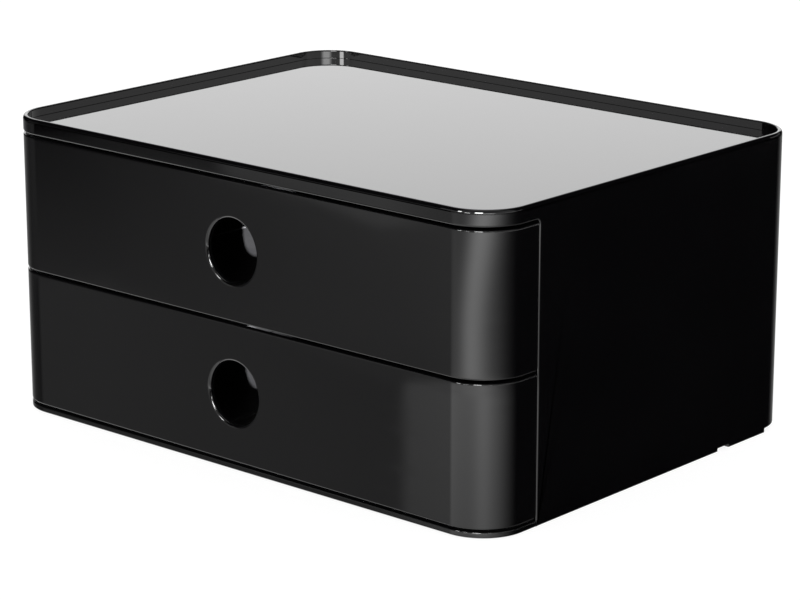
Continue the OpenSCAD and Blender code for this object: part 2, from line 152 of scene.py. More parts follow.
def rounded(corners, radii, steps=6, closed=False):
    """Returns the points and their left-hand unit normals.

    At a corner the direction turns by an angle; the arc starts radius * tan(angle / 2) before the
    corner, and its points are centre - side * radius * normal, with the normal turning evenly from one
    stretch to the next.
    """
    corners = np.asarray(corners, float)
    radii = np.broadcast_to(radii, len(corners) - (0 if closed else 2)).astype(float)
    ahead = np.roll(corners, -1, 0) - corners
    length = np.maximum(np.linalg.norm(ahead, axis=1), 1e-12)
    ahead /= length[:, None]
    left = np.stack([-ahead[:, 1], ahead[:, 0]], 1)
    arcs = []
    inner = range(len(corners)) if closed else range(1, len(corners) - 1)
    for radius, i in zip(radii, inner):
        a, b = ahead[i - 1], ahead[i]
        angle = math.atan2(a[0] * b[1] - a[1] * b[0], a @ b)
        if radius == 0 or abs(angle) < 1e-6:
            middle = left[i - 1] + left[i]
            arcs.append((corners[i : i + 1], middle[None] / np.linalg.norm(middle)))
            continue
        side = math.copysign(1, angle)
        start = corners[i] - a * radius * math.tan(abs(angle) / 2)
        centre = start + side * radius * left[i - 1]
        swing = math.atan2(left[i - 1][1], left[i - 1][0]) + angle * np.linspace(0, 1, steps + 1)
        normal = np.stack([np.cos(swing), np.sin(swing)], 1)
        arcs.append((centre - side * radius * normal, normal))
    if not closed:
        arcs = [(corners[:1], left[:1]), *arcs, (corners[-1:], left[-2:-1])]
    points, normals = [], []
    pairs = zip(arcs, arcs[1:] + arcs[:1]) if closed else zip(arcs, arcs[1:] + [None])
    for arc, following in pairs:
        points.append(arc[0])
        normals.append(arc[1])
        if following is None:
            continue
        gap = following[0][0] - arc[0][-1]
        run = np.linalg.norm(gap)
        if run > 4 * GUARD:
            if len(arc[0]) > 1:
                points.append(arc[0][-1:] + gap / run * GUARD)
                normals.append(arc[1][-1:])
            if len(following[0]) > 1:
                points.append(following[0][:1] - gap / run * GUARD)
                normals.append(following[1][:1])
    return np.concatenate(points), np.concatenate(normals)


square = rounded([(0, 0), (1, 0), (1, 1), (0, 1)], 0.1, closed=True)[0]
print("a square with round corners has", len(square), "points")

# %% [markdown]
# ## From arrays to a mesh
# A surface here is an array of points with rows and columns. Its faces are the cells between them. Several
# such grids, and flat caps over their open ends, are joined, the points that coincide are welded, and the
# normals are turned outwards. A printed count of open edges shows at once whether the solid is closed.

# %% Grids, caps and the finished piece
PIECES = {}
SHARP_ANGLE = math.radians(40)
WELD = 2e-6


def grid(points, wrap=False, keep=None):
    """A grid of points and its cells as quads. wrap joins its two sides; keep leaves cells out."""
    rows, columns = points.shape[:2]
    index = np.arange(rows * columns).reshape(rows, columns)
    right = np.roll(index, -1, 1) if wrap else index[:, 1:]
    near = index if wrap else index[:, :-1]
    cells = np.stack([near[:-1], right[:-1], right[1:], near[1:]], -1)
    if keep is not None:
        cells = cells[keep]
    return points.reshape(-1, 3), cells.reshape(-1, 4).tolist()


def cap(loop):
    """One flat face over a closed loop of points."""
    return loop, [list(range(len(loop)))]


def closed_tube(points, keep=None):
    """A grid that is joined round, with flat caps over its first and its last row."""
    return [grid(points, wrap=True, keep=keep), cap(points[0]), cap(points[-1])]


def add_object(name, data):
    """Puts a new object with this data into the scene."""
    made = bpy.data.objects.new(name, data)
    bpy.context.scene.collection.objects.link(made)
    return made


def make_piece(name, parts, body, slot, *nodes):
    """Joins grids and caps into one closed mesh that rides on a body and stands for CAD nodes."""
    starts = np.cumsum([0] + [len(points) for points, _ in parts])
    faces = [[v + start for v in face] for (_, cells), start in zip(parts, starts) for face in cells]
    mesh = bpy.data.meshes.new(name)
    mesh.from_pydata(np.concatenate([points for points, _ in parts]).tolist(), [], faces)
    work = bmesh.new()
    work.from_mesh(mesh)
    bmesh.ops.remove_doubles(work, verts=work.verts, dist=WELD)
    bmesh.ops.recalc_face_normals(work, faces=work.faces)
    open_edges = sum(not edge.is_manifold for edge in work.edges)
    work.to_mesh(mesh)
    work.free()
    mesh.shade_smooth()
    mesh.set_sharp_from_angle(angle=SHARP_ANGLE)
    piece = add_object(name, mesh)
    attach(piece, body)
    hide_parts(*nodes)
    PIECES[name] = piece
    print(f"{name}: {len(mesh.vertices)} points, {len(mesh.polygons)} faces, {open_edges} open edges")


# %% [markdown]
# ## Small solids
# Hooks, ribs and lugs are blocks with softened edges. A block is a ball pulled apart: the ball's surface is
# split at its quadrants, and each part moves out to its own corner of the box.

# %% A block with round edges, and a turned solid
def quadrants(steps):
    """Angles of a full turn, each quadrant's ends repeated, and the signs of cosine and sine in each."""
    angle = np.linspace(0, np.pi / 2, steps + 1)[None] + np.arange(4)[:, None] * np.pi / 2
    signs = np.array([[1, 1], [-1, 1], [-1, -1], [1, -1]])
    return angle.ravel(), np.repeat(signs, steps + 1, 0).T


def block(low, high, radius=0.2 * MM, steps=2):
    """centre + sign(n) * (half size - radius) + radius * n, for the directions n of a ball's grid."""
    low, high = np.asarray(low, float), np.asarray(high, float)
    centre, core = (low + high) / 2, (high - low) / 2 - radius
    turn, (sx, sy) = quadrants(steps)
    rise = np.concatenate([np.linspace(-np.pi / 2, 0, steps + 1), np.linspace(0, np.pi / 2, steps + 1)])
    sz = np.repeat([-1, 1], steps + 1)
    x = core[0] * sx + radius * np.cos(rise)[:, None] * np.cos(turn)
    y = core[1] * sy + radius * np.cos(rise)[:, None] * np.sin(turn)
    z = np.broadcast_to((core[2] * sz + radius * np.sin(rise))[:, None], x.shape)
    points = centre + np.stack([x, y, z], -1)
    return closed_tube(points)


def turned(profile, centre, steps=48):
    """A profile of (radius, height) turned upright: (x, y) = centre + radius * (cos t, sin t)."""
    t = np.linspace(0, 2 * np.pi, steps, endpoint=False)
    radius, z = profile.T[:, :, None]
    x, y = centre[0] + radius * np.cos(t), centre[1] + radius * np.sin(t)
    return np.stack(np.broadcast_arrays(x, y, z), -1)


print("a block has", sum(len(faces) for _, faces in block((0, 0, 0), (1, 1, 1), 0.1)), "faces")

# %% [markdown]
# ## The housing
# One moulding makes the side walls, the rear wall, the top plate and the thin rim round it. From the
# plate's middle a single profile runs out over the plate, up and over the rim, and down the outer face;
# below, it turns in under the wall's edge and runs back along the inside. The lower edge isn't level: it
# jumps up where the drawers come out and has shallow notches, so it is drawn first, on the unwrapped strip,
# as one line.

# %% Lower edge of the housing on the strip
rim_t = 2 * MM
rim_h = 3.6 * MM
rim_edge_r = 1.3 * MM
rim_edge_tall = 1.4
rim_inner_r = 0.5 * MM
plate_fillet_r = 0.05 * MM
top_t = 2.2 * MM
plate_top_z = box_h - rim_h
wall_edge_r = 0.4 * MM
opening_edge_r = 0.8 * MM
opening_r = 1.6 * MM
joint_r = 0.05 * MM
notch_r = 0.3 * MM
notch_top_z = shell_z + 1.3 * MM
notch_y = half_d - 47.5 * MM
notch_half = 7.5 * MM / 2
rear_step_y = half_d - 18.5 * MM
rear_edge_z = shell_z + 1.8 * MM
joint_z = np.array([base_band_z + joint_r, base_band_z - joint_r])


def lower_edge():
    """The right half of the edge, front middle to rear middle, as (s, z) and its inward normals."""
    front_turn, rear_turn = round_corners(box_marks, (1, 3))
    opening, step = side_s(opening_y), side_s(rear_step_y)
    notch = side_s(notch_y) + np.array([-notch_half, notch_half])
    corners = [(0, band_z), *[(s, band_z) for s in front_turn], (opening, band_z)]
    corners += [*[(opening, z) for z in joint_z], (opening, shell_z)]
    radii = [0] * len(front_turn) + [opening_r, 0, 0, joint_r]
    corners += [(notch[0], shell_z), (notch[0], notch_top_z), (notch[1], notch_top_z), (notch[1], shell_z)]
    radii += [notch_r] * 4
    corners += [(rear_turn[0], shell_z), (step, shell_z), (step, rear_edge_z)]
    corners += [(s, rear_edge_z) for s in rear_turn[1:]]
    radii += [0, notch_r, notch_r] + [0] * (len(rear_turn) - 1)
    corners += [(box_marks[-1] / 2, rear_edge_z)]
    return rounded(corners, radii)


edge, edge_normal = lower_edge()
print("the lower edge has", len(edge), "points on each side")

# %% [markdown]
# The rows above the edge need their own places along the strip, because a stretch of edge that runs
# straight up or down has no length there. On the flat side walls the places are spread evenly, one for each
# point of the edge, and the cells between the two rows fan out. In the round corners both rows keep the
# same places.

# %% Columns of the housing
def spread_columns(edge):
    """Places along the strip for the upper rows: evenly spaced between the two corners' ends."""
    s = edge[:, 0].copy()
    first = np.argmin(abs(s - box_marks[2]))
    last = np.argmin(abs(s - box_marks[3]))
    s[first : last + 1] = np.linspace(box_marks[2], box_marks[3], last + 1 - first)
    return s


def both_halves(right, sign):
    """The left half as the mirror image of the right one, then the right half, as one closed loop."""
    return np.concatenate([sign * right[:0:-1], right[:-1]])


upper_s = both_halves(spread_columns(edge), -1)
edge_s, edge_z = both_halves(edge[:, 0], -1), both_halves(edge[:, 1], 1)
normal_s, normal_z = both_halves(edge_normal[:, 0], -1), both_halves(edge_normal[:, 1], 1)
print(len(upper_s), "columns")

# %% [markdown]
# Round the drawer opening the wall's outer edge has a larger rounding than along the bottom, and where it
# meets the band under the drawers it has next to none, so that the joint hardly shows. All three are the
# same short profile across the wall's edge, so they can be mixed: each column takes the one that fits the
# place of its edge.

# %% The housing's surface
cap_inset = 14 * MM
join_z = band_z + 2.4 * MM
inner_join_z = band_z + 0.6 * MM
lip_reach = 0.5 * MM
opening_lip_reach = 1.4 * MM
lip_inner_r = 0.2 * MM


def lip(outer_r, reach):
    """Rows across the wall's edge as (rise into the wall, inset), from the outer face to the inner one."""
    start = outer_r + 0.2 * (reach - outer_r)
    turn = rounded([(start, 0), (0, 0), (0, wall_t), (lip_reach, wall_t)], [outer_r, lip_inner_r])[0]
    return np.concatenate([[(reach, 0)], turn])


def housing_rows():
    """All rows of the housing, from the plate's top over the rim, under the edge and back below the plate.

    The rim's outer rounding is made rim_edge_tall times as tall as it is wide. The guard row under it keeps
    its height, so over that short stretch the flat outer face is folded back on itself.
    """
    over = [(cap_inset, plate_top_z), (rim_t, plate_top_z), (rim_t, box_h), (0, box_h), (0, join_z)]
    inset, z = rounded(over, [plate_fillet_r, rim_inner_r, rim_edge_r], FINE_STEPS)[0].T[:, :, None]
    rounding = (inset <= rim_edge_r) & (z > box_h - rim_edge_r - GUARD / 2)
    z = np.where(rounding, box_h - (box_h - z) * rim_edge_tall, z)
    upper = box_place(upper_s, inset, z)
    low_lip, joint_lip = lip(wall_edge_r, lip_reach), lip(joint_r, lip_reach)
    open_lip = lip(opening_edge_r, opening_lip_reach)
    open_share = np.interp(edge_z, joint_z[::-1], [0, 1])
    joint_share = (abs(normal_z) < 0.1) * (1 - open_share) * np.isclose(abs(edge_s), side_s(opening_y))
    rise, inset = low_lip.T[:, :, None] + (open_lip - low_lip).T[:, :, None] * open_share
    rise, inset = np.stack([rise, inset]) + (joint_lip - low_lip).T[:, :, None] * joint_share
    lower = box_place(edge_s + normal_s * rise, inset, edge_z + normal_z * rise)
    plate_low_z = plate_top_z - top_t
    below = np.array([(wall_t, inner_join_z), (wall_t, plate_low_z), (cap_inset, plate_low_z)])
    inside = box_place(upper_s, below[:, 0, None], below[:, 1, None])
    return np.concatenate([upper, lower, inside])


make_piece("housing", closed_tube(housing_rows()), "housing", "gloss_shell", "housing_shell")

# %% [markdown]
# ## A panel on the strip
# A drawer front is a sheet that is bent round both corners. On the strip it is a plain rectangle: a grid
# for its outer face, another for its inner face, and a border that goes round the edge between them. The
# border is an offset of the inner rectangle, so its corners come out round by themselves.

# %% Panel with rounded border
def border(columns, rows, steps=6):
    """Points of a rectangle's edge, anticlockwise, and their outward directions; corners fan a quarter."""
    fan = np.linspace(0, np.pi / 2, steps + 1)[1:-1]
    sides = [
        (np.stack([columns, np.full_like(columns, rows[0])], 1), -np.pi / 2),
        (np.stack([np.full_like(rows, columns[-1]), rows], 1), 0.0),
        (np.stack([columns[::-1], np.full_like(columns, rows[-1])], 1), np.pi / 2),
        (np.stack([np.full_like(rows, columns[0]), rows[::-1]], 1), np.pi),
    ]
    points = [np.concatenate([side, np.repeat(side[-1:], len(fan), 0)]) for side, _ in sides]
    angles = [np.concatenate([np.full(len(side), angle), angle + fan]) for side, angle in sides]
    angle = np.concatenate(angles)
    return np.concatenate(points), np.stack([np.cos(angle), np.sin(angle)], 1)


def panel(place, columns, rows, inset, thick, corner, edge_out, edge_in, window=None):
    """Grids of a sheet on the strip; columns and rows are its inner grid, corner its border's width."""
    keep = np.ones((len(rows) - 1, len(columns) - 1), bool)
    if window is not None:
        middle_s, middle_z = (columns[1:] + columns[:-1]) / 2, (rows[1:] + rows[:-1]) / 2
        (centre_s, centre_z), half = window
        in_s, in_z = abs(middle_s - centre_s) < half, abs(middle_z - centre_z) < half
        keep &= ~(in_z[:, None] & in_s[None])
    faces = [grid(place(columns, d, rows[:, None]), keep=keep) for d in (inset, inset + thick)]
    points, out = border(columns, rows)
    across = rounded([(0, 0), (corner, 0), (corner, thick), (0, thick)], [edge_out, edge_in])[0]
    reach, depth = across.T[:, :, None]
    edge_points = place(points[:, 0] + out[:, 0] * reach, inset + depth, points[:, 1] + out[:, 1] * reach)
    return [*faces, grid(edge_points, wrap=True)]


# %% [markdown]
# ## The finger hole
# The hole is a circle in a grid of squares. A square window is left out of the grid, and its edge is joined
# to the circle along rays of equal angle. Grid lines at half size * tan(angle) meet those rays exactly, so
# no point is left over. The rays then run on over the flared lip and through the wall.

# %% Round hole in a window
HOLE_RAYS = 24


def window_lines(centre, half):
    """Grid lines over a window that meet rays of equal angle: centre + half * tan(-45..45 degrees)."""
    return centre + half * np.tan(np.linspace(-np.pi / 4, np.pi / 4, HOLE_RAYS + 1))


def round_hole(place, centre, half, profile):
    """From the square at the outer face through a profile of (radius, depth) to the square at the inner face.

    The square's point at angle t is half / max(|cos t|, |sin t|) * (cos t, sin t).
    """
    t = np.arange(4 * HOLE_RAYS) * (np.pi / 2 / HOLE_RAYS)
    square = half / np.maximum(abs(np.cos(t)), abs(np.sin(t)))
    radius = np.concatenate([square[None], np.repeat(profile[:, :1], len(t), 1), square[None]])
    depth = np.concatenate([profile[:1, 1], profile[:, 1], profile[-1:, 1]])[:, None]
    points = place(centre[0] + radius * np.cos(t), depth, centre[1] + radius * np.sin(t))
    return grid(points, wrap=True)


# %% [markdown]
# ## The drawer fronts
# Both fronts come out of the same mould, so one function makes them. Behind the sheet two webs close the
# gap to the tray, and four hooks with barbs hold the tray.

# %% The drawer fronts
front_t = 2.4 * MM
front_corner_r = 1.1 * MM
front_edge_r = 0.6 * MM
front_inner_r = 0.3 * MM
hole_r = 13 * MM
hole_lip_r = 1.2 * MM
hole_inner_r = 0.4 * MM
window_half = 17 * MM
tray_x = 120.5 * MM
web_inset = 1 * MM
tray_t = 1.8 * MM
tray_floor_t = 2 * MM
tray_low = {d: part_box(f"drawer_{d}_tray")[0].z for d in DRAWERS}
tray_high = {d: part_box(f"drawer_{d}_tray")[1].z for d in DRAWERS}
hook_w = 10 * MM
hook_t = 2 * MM
hook_x = half_w - 53 * MM
hook_rise = 6 * MM
hook_reach = tray_t + 0.4 * MM
barb_h = 0.9 * MM
sunk = 0.3 * MM


def prism(outline_points, low_x, high_x, radius=0.2 * MM):
    """A closed (y, z) drawing carried along x; its ends shrink by radius * (1 - sin) while x goes by cos."""
    points, inward = rounded(outline_points, radius, 3, closed=True)
    turn = np.linspace(0, np.pi / 2, 3)
    shrink = radius * np.concatenate([1 - np.sin(turn), 1 - np.sin(turn[::-1])])
    x = np.concatenate([low_x + radius * (1 - np.cos(turn)), high_x - radius * (1 - np.cos(turn[::-1]))])
    drawing = points + shrink[:, None, None] * inward
    solid = np.concatenate([np.broadcast_to(x[:, None, None], drawing.shape[:2] + (1,)), drawing], -1)
    return closed_tube(solid)


def hook(x, z):
    """A tongue through the tray's wall with a slanted barb on its upper side."""
    y = -half_d + front_t
    tip = hook_reach + 2 * barb_h
    barb = [(tip, hook_t - barb_h / 2), (hook_reach, hook_t + barb_h), (hook_reach, hook_t)]
    drawing = np.array([(-sunk, 0), (tip, 0), *barb, (-sunk, hook_t)]) + (y, z)
    return prism(drawing, x - hook_w / 2, x + hook_w / 2)


def strip_columns(end, extra):
    """Places along the strip from -end to end: fine in the round corners, with extra ones between."""
    right = np.concatenate([*round_corners(box_marks, [1]), [end]])
    return np.unique(np.concatenate([-right, extra, right]))


def drawer_front(drawer):
    low, high = front_low[drawer], front_high[drawer]
    middle = (low + high) / 2
    lines = window_lines(0, window_half)
    columns = strip_columns(side_s(front_end_y) - front_corner_r, lines)
    rows = np.concatenate([[low + front_corner_r], lines + middle, [high - front_corner_r]])
    parts = panel(
        box_place, columns, rows, 0, front_t, front_corner_r, front_edge_r, front_inner_r,
        window=((0, middle), window_half),
    )
    through = [(hole_r + 2.5 * MM, 0), (hole_r, 0), (hole_r, front_t), (hole_r + 2 * MM, front_t)]
    profile = rounded(through, [hole_lip_r, hole_inner_r], FINE_STEPS)[0]
    parts.append(round_hole(box_place, (0, middle), window_half, profile))
    for side in (-1, 1):
        ends = sorted([side * (tray_x + 0.1 * MM), side * (half_w - front_t + 0.2 * MM)])
        parts += block(
            (ends[0], front_end_y - front_t, low + web_inset), (ends[1], front_end_y, high - web_inset)
        )
        for z in (tray_low[drawer] + tray_floor_t + hook_rise, tray_high[drawer] - hook_rise):
            parts += hook(side * hook_x, z)
    make_piece(f"front_{drawer}", parts, f"drawer_{drawer}", "gloss_front", f"drawer_{drawer}_front")


for drawer in DRAWERS:
    drawer_front(drawer)

# %% [markdown]
# ## The trays
# A tray is a bowl with upright walls, so its whole surface is one profile carried round an outline: up the
# outer wall, over the rim, down the inner wall and round a fillet into the floor. The opening behind the
# finger hole is made as in the fronts. Runner flanges, stop lugs and the ribs in the floor are blocks that
# grow out of it.

# %% The trays
tray_front_y = -half_d + front_t + 0.1 * MM
tray_rear_y = half_d - wall_t - 4 * MM
tray_r = 10 * MM
tray_rim_r = 0.5 * MM
tray_foot_r = 1.2 * MM
tray_fillet_r = 2.5 * MM
tray_window_r = 15.5 * MM
floor_rib_t = 1.4 * MM
floor_rib_h = 0.6 * MM
flange_t = 2 * MM
flange_x = 124.4 * MM
flange_end_y = half_d - corner_r - 1.4 * MM
lug_x = 125.6 * MM
lug_y = 55.7 * MM
lug_len = 8 * MM
rib_places = (0.25, 0.75)


def bowl(place, columns, low, high, window):
    """Rows of a tray's surface, and which of its cells are kept round the window in its front wall."""
    centre_z, half = window
    lines = window_lines(centre_z, half)
    outer = [(cap_inset, low), (0, low), *[(0, z) for z in lines], (0, high)]
    inner = [(tray_t, high), *[(tray_t, z) for z in lines[::-1]], (tray_t, low + tray_floor_t)]
    radii = [tray_foot_r, *[0] * len(lines), tray_rim_r, tray_rim_r, *[0] * len(lines), tray_fillet_r]
    profile = rounded([*outer, *inner, (cap_inset, low + tray_floor_t)], radii, 5)[0]
    middle = (profile[1:] + profile[:-1]) / 2
    upright = np.isclose(middle[:, 0], 0) | np.isclose(middle[:, 0], tray_t)
    across = (columns + np.roll(columns, -1)) / 2
    keep = ~((upright & (abs(middle[:, 1] - centre_z) < half))[:, None] & (abs(across) < half)[None])
    return place(columns, profile[:, 0, None], profile[:, 1, None]), keep


def drawer_tray(drawer):
    low, high = tray_low[drawer], tray_high[drawer]
    hole_z = (front_low[drawer] + front_high[drawer]) / 2
    half_y, centre_y = (tray_rear_y - tray_front_y) / 2, (tray_rear_y + tray_front_y) / 2
    place, marks = outline(tray_x, half_y, tray_r, centre_y)
    turns = round_corners(marks, (1, 3, 5, 7), CORNER_STEPS // 2)
    columns = np.unique(np.concatenate([*turns, window_lines(0, window_half)]))
    rows, keep = bowl(place, columns, low, high, (hole_z, window_half))
    parts = closed_tube(rows, keep)
    through = np.array([(1 * MM, 0), (0, 0), (0, tray_t), (1 * MM, tray_t)]) + (tray_window_r, 0)
    parts.append(round_hole(place, (0, hole_z), window_half, rounded(through, 0.3 * MM, 3)[0]))
    for side in (-1, 1):
        flange = sorted([side * (tray_x - tray_rim_r), side * flange_x])
        lug = sorted([side * (flange_x - 0.5 * MM), side * lug_x])
        parts += block((flange[0], front_end_y, high - flange_t), (flange[1], flange_end_y, high))
        parts += block((lug[0], lug_y, high - flange_t), (lug[1], lug_y + lug_len, high))
        for x in side * tray_x * np.array(rib_places):
            reach = half_y - tray_t - tray_r
            parts += block(
                (x - floor_rib_t / 2, centre_y - reach, low + tray_floor_t - sunk),
                (x + floor_rib_t / 2, centre_y + reach, low + tray_floor_t + floor_rib_h),
            )
    make_piece(f"tray_{drawer}", parts, f"drawer_{drawer}", "satin_tray", f"drawer_{drawer}_tray")


for drawer in DRAWERS:
    drawer_tray(drawer)

# %% [markdown]
# ## The base plate and the feet
# The base plate closes the housing from below. Its front edge is the low band under the lower drawer, a
# panel on the same strip as the fronts. Its floor fits between the walls and stands on ribs, a second low
# wall stiffens its edge, and round collars hold the four rubber feet.

# %% The base plate
base_fit = 0.15 * MM
base_t = 1.6 * MM
base_under_z = base_band_z - base_t
base_edge_r = 0.3 * MM
band_edge_r = 0.4 * MM
band_inset = 0.02 * MM
rib_t = 1.4 * MM
upstand_h = 6 * MM
upstand_inset = wall_t + base_fit
upstand_edge_r = 0.3 * MM
band_edge = 0.8 * MM
collar_edge_r = 0.2 * MM
rib_span_x = 2 * (half_w - upstand_inset) - 2 * corner_r
rib_span_y = 2 * half_d - 2 * corner_r
foot_r = 7 * MM
foot_x = half_w - 28 * MM
foot_y = half_d - 26 * MM
collar_r = (foot_r + 0.3 * MM, foot_r + 1.5 * MM)


def shares(count, span):
    """Middles of count equal shares of a span about zero."""
    return span * ((np.arange(count) + 0.5) / count - 0.5)


def base_floor():
    """A plate whose rim is rounded, from a profile carried round the inside of the walls."""
    reach = 0.2 * MM
    half_x, half_y = half_w - upstand_inset, half_d - upstand_inset + reach
    place, marks = outline(half_x, half_y, corner_r - upstand_inset, -reach)
    turns = round_corners(marks, (1, 3, 5, 7), CORNER_STEPS // 2)
    edge_line = [(cap_inset, base_under_z), (0, base_under_z), (0, base_band_z), (cap_inset, base_band_z)]
    inset, z = rounded(edge_line, base_edge_r, 3)[0].T[:, :, None]
    return closed_tube(place(np.concatenate(turns), inset, z))


def base_plate():
    parts = base_floor()
    rows = np.array([shell_z + band_edge, base_band_z - band_edge])
    columns = strip_columns(side_s(opening_y), [])
    thick = wall_t - 2 * band_inset
    parts += panel(box_place, columns, rows, band_inset, thick, band_edge, band_edge_r, front_inner_r)
    start = side_s(opening_y + base_fit) + band_edge
    columns = np.concatenate([[start], *round_corners(box_marks, (3, 5)), [box_marks[-1] - start]])
    rows = np.array([base_band_z - 0.5 * MM + band_edge, base_band_z + upstand_h - band_edge])
    parts += panel(
        box_place, columns, rows, upstand_inset, rib_t, band_edge, upstand_edge_r, upstand_edge_r
    )
    half_x, half_y, half_t = rib_span_x / 2, rib_span_y / 2, rib_t / 2
    rib_top_z = base_under_z + sunk
    for x in shares(6, rib_span_x):
        parts += block((x - half_t, -half_y, shell_z), (x + half_t, half_y, rib_top_z))
    for y in shares(4, rib_span_y):
        parts += block((-half_x, y - half_t, shell_z), (half_x, y + half_t, rib_top_z))
    inner, outer = collar_r
    ring = [(inner, shell_z), (outer, shell_z), (outer, base_under_z), (inner, base_under_z)]
    ring = rounded(ring, collar_edge_r, 3, closed=True)[0]
    for x in (-foot_x, foot_x):
        for y in (-foot_y, foot_y):
            parts.append(grid(turned(np.concatenate([ring, ring[:1]]), (x, y)), wrap=True))
    make_piece("base", parts, "housing", "satin_base", "base_plate")


base_plate()

# %% The feet
foot_edge_r = 0.3 * MM
foot_dish_r = 4 * MM
foot_dish_h = 0.15 * MM
foot_dish_edge_r = 0.2 * MM
foot_slope = 0.6 * MM
foot_top_r = 0.1 * MM
foot_cap_r = 1 * MM


def rubber_foot(name, x, y):
    """A low disc with a rounded edge and a shallow dish in its underside, as a turned profile."""
    dish = [(foot_cap_r, foot_dish_h), (foot_dish_r, foot_dish_h), (foot_dish_r + foot_slope, 0)]
    side = [(foot_r, 0), (foot_r, base_under_z), (foot_cap_r, base_under_z)]
    radii = [foot_dish_edge_r, foot_dish_edge_r, foot_edge_r, foot_top_r]
    profile = rounded([*dish, *side], radii, 4)[0]
    make_piece(name, closed_tube(turned(profile, (x, y))), "housing", "foot", name)


for row, y in (("front", -foot_y), ("rear", foot_y)):
    for side, x in (("left", -foot_x), ("right", foot_x)):
        rubber_foot(f"foot_{row}_{side}", x, y)

# %% [markdown]
# ## Writing materials as arithmetic
# A material is a graph of nodes, but it reads better as a formula. A Term stands for one value in the
# graph, and the usual signs work on it: each sign adds the Math node that does it. Every other node comes
# from one method, which takes the node's type, its settings and what goes into its sockets.

# %% Terms and graphs
def sign(operation, swap=False):
    """A method of Term that adds one Math node; swap puts the Term itself last."""
    return lambda self, value: self.math(operation, value, swap=swap)


class Term:
    """A value in a graph of nodes: + - * / ** > and abs give new Terms."""

    def __init__(self, graph, socket):
        self.graph, self.socket = graph, socket

    def other(self, output):
        """Another output of the node that made this Term."""
        return Term(self.graph, self.socket.node.outputs[output])

    def math(self, operation, *values, swap=False):
        values = [*values, self] if swap else [self, *values]
        return self.graph.node("ShaderNodeMath", {"operation": operation}, values)

    def __abs__(self):
        return self.math("ABSOLUTE")

    __add__ = __radd__ = sign("ADD")
    __sub__, __rsub__ = sign("SUBTRACT"), sign("SUBTRACT", swap=True)
    __mul__ = __rmul__ = sign("MULTIPLY")
    __truediv__, __pow__, __gt__ = sign("DIVIDE"), sign("POWER"), sign("GREATER_THAN")
    at_least, at_most = sign("MAXIMUM"), sign("MINIMUM")

    def step(self, start, end):
        """0 before start, 1 past end, smooth between them."""
        inputs = {"Value": self, "From Min": start, "From Max": end}
        return self.graph.node("ShaderNodeMapRange", {"interpolation_type": "SMOOTHSTEP"}, inputs)


class Graph:
    """The nodes of one material or of the world."""

    def __init__(self, tree):
        self.tree = tree
        tree.nodes.clear()

    def node(self, kind, settings=None, inputs=(), output=0):
        """Adds a node: its settings first, then values or Terms on its sockets."""
        made = self.tree.nodes.new(kind)
        for name, value in (settings or {}).items():
            setattr(made, name, value)
        for key, value in inputs.items() if isinstance(inputs, dict) else enumerate(inputs):
            if isinstance(value, Term):
                self.tree.links.new(value.socket, made.inputs[key])
            else:
                made.inputs[key].default_value = value
        return Term(self, made.outputs[output]) if len(made.outputs) else None

    def mix(self, factor, first, second):
        """A colour between two colours: first where the factor is 0, second where it is 1."""
        return self.node("ShaderNodeMix", {"data_type": "RGBA"}, {0: factor, 6: first, 7: second}, output=2)

    def noise(self, place, scale, detail=2.0):
        """Noise with features of about 1 / scale metres."""
        return self.node("ShaderNodeTexNoise", {}, {"Vector": place, "Scale": scale, "Detail": detail})

    def apart(self, vector):
        """The three parts of a vector."""
        first = self.node("ShaderNodeSeparateXYZ", {}, [vector])
        return first, first.other(1), first.other(2)


def new_material(name):
    """A material with nodes, and its emptied graph."""
    material = bpy.data.materials.new(name)
    material.use_nodes = True
    return material, Graph(material.node_tree)


print("a Term knows + - * / ** > and abs, and a Graph has", len(vars(Graph)), "entries")

# %% [markdown]
# ## The plastics
# The housing and the fronts are moulded in a polished steel mould, so outside they are as smooth as glass.
# Inside, where nobody looks, the mould isn't polished and the plastic is satin. Whether a place is outside
# is a formula: its distance from the box's outline is worked out in the material itself. Real gloss plastic
# isn't perfect: it has a faint waviness, the haze of a cloth that wiped it, and a few specks of dust.

# %% A plastic
dust_spacing = 9 * MM
dust_size = 0.22 * MM
cloth_stretch = (30, 30, 220)
slide_stretch = (2500, 15, 2500)
deep_black = (0.0014, 0.0013, 0.0016, 1)
hazy_black = (0.0048, 0.0046, 0.005, 1)


def plastic(name, colour, roughness, grain):
    """A principled surface; colour, roughness and grain (in metres) are functions of (graph, place)."""
    material, graph = new_material(name)
    place = graph.node("ShaderNodeTexCoord", output=3)
    bump = {"Height": grain(graph, place), "Distance": 1.0, "Strength": 1.0}
    sockets = {"Normal": graph.node("ShaderNodeBump", {}, bump)}
    sockets |= {"Base Color": colour(graph, place), "Roughness": roughness(graph, place)}
    shader = graph.node("ShaderNodeBsdfPrincipled", {}, sockets)
    graph.node("ShaderNodeOutputMaterial", {}, [shader])
    return material


def outside(graph, place):
    """1 where a place lies within the outer half of the wall or above the middle of the top plate.

    Distance to the outline: length of (|x| - flat x, |y| - flat y) where positive, less radius.
    """
    x, y, z = graph.apart(place)
    beyond_x = (abs(x) - (half_w - corner_r)).at_least(0)
    beyond_y = (abs(y) - (half_d - corner_r)).at_least(0)
    distance = (beyond_x * beyond_x + beyond_y * beyond_y) ** 0.5 - corner_r
    in_wall = distance.step(-0.7 * wall_t, -0.4 * wall_t)
    in_plate = z.step(plate_top_z - 0.7 * top_t, plate_top_z - 0.4 * top_t)
    return in_wall.at_least(in_plate)


def dust(graph, place):
    """A few specks: the middles of scattered cells, kept where the cell's own random number is high."""
    inputs = {"Vector": place, "Scale": 1 / dust_spacing, "Randomness": 1.0}
    cells = graph.node("ShaderNodeTexVoronoi", {}, inputs)
    chosen = graph.apart(cells.other("Color"))[0] > 0.8
    return (1 - cells.step(0.3 * dust_size / dust_spacing, dust_size / dust_spacing)) * chosen


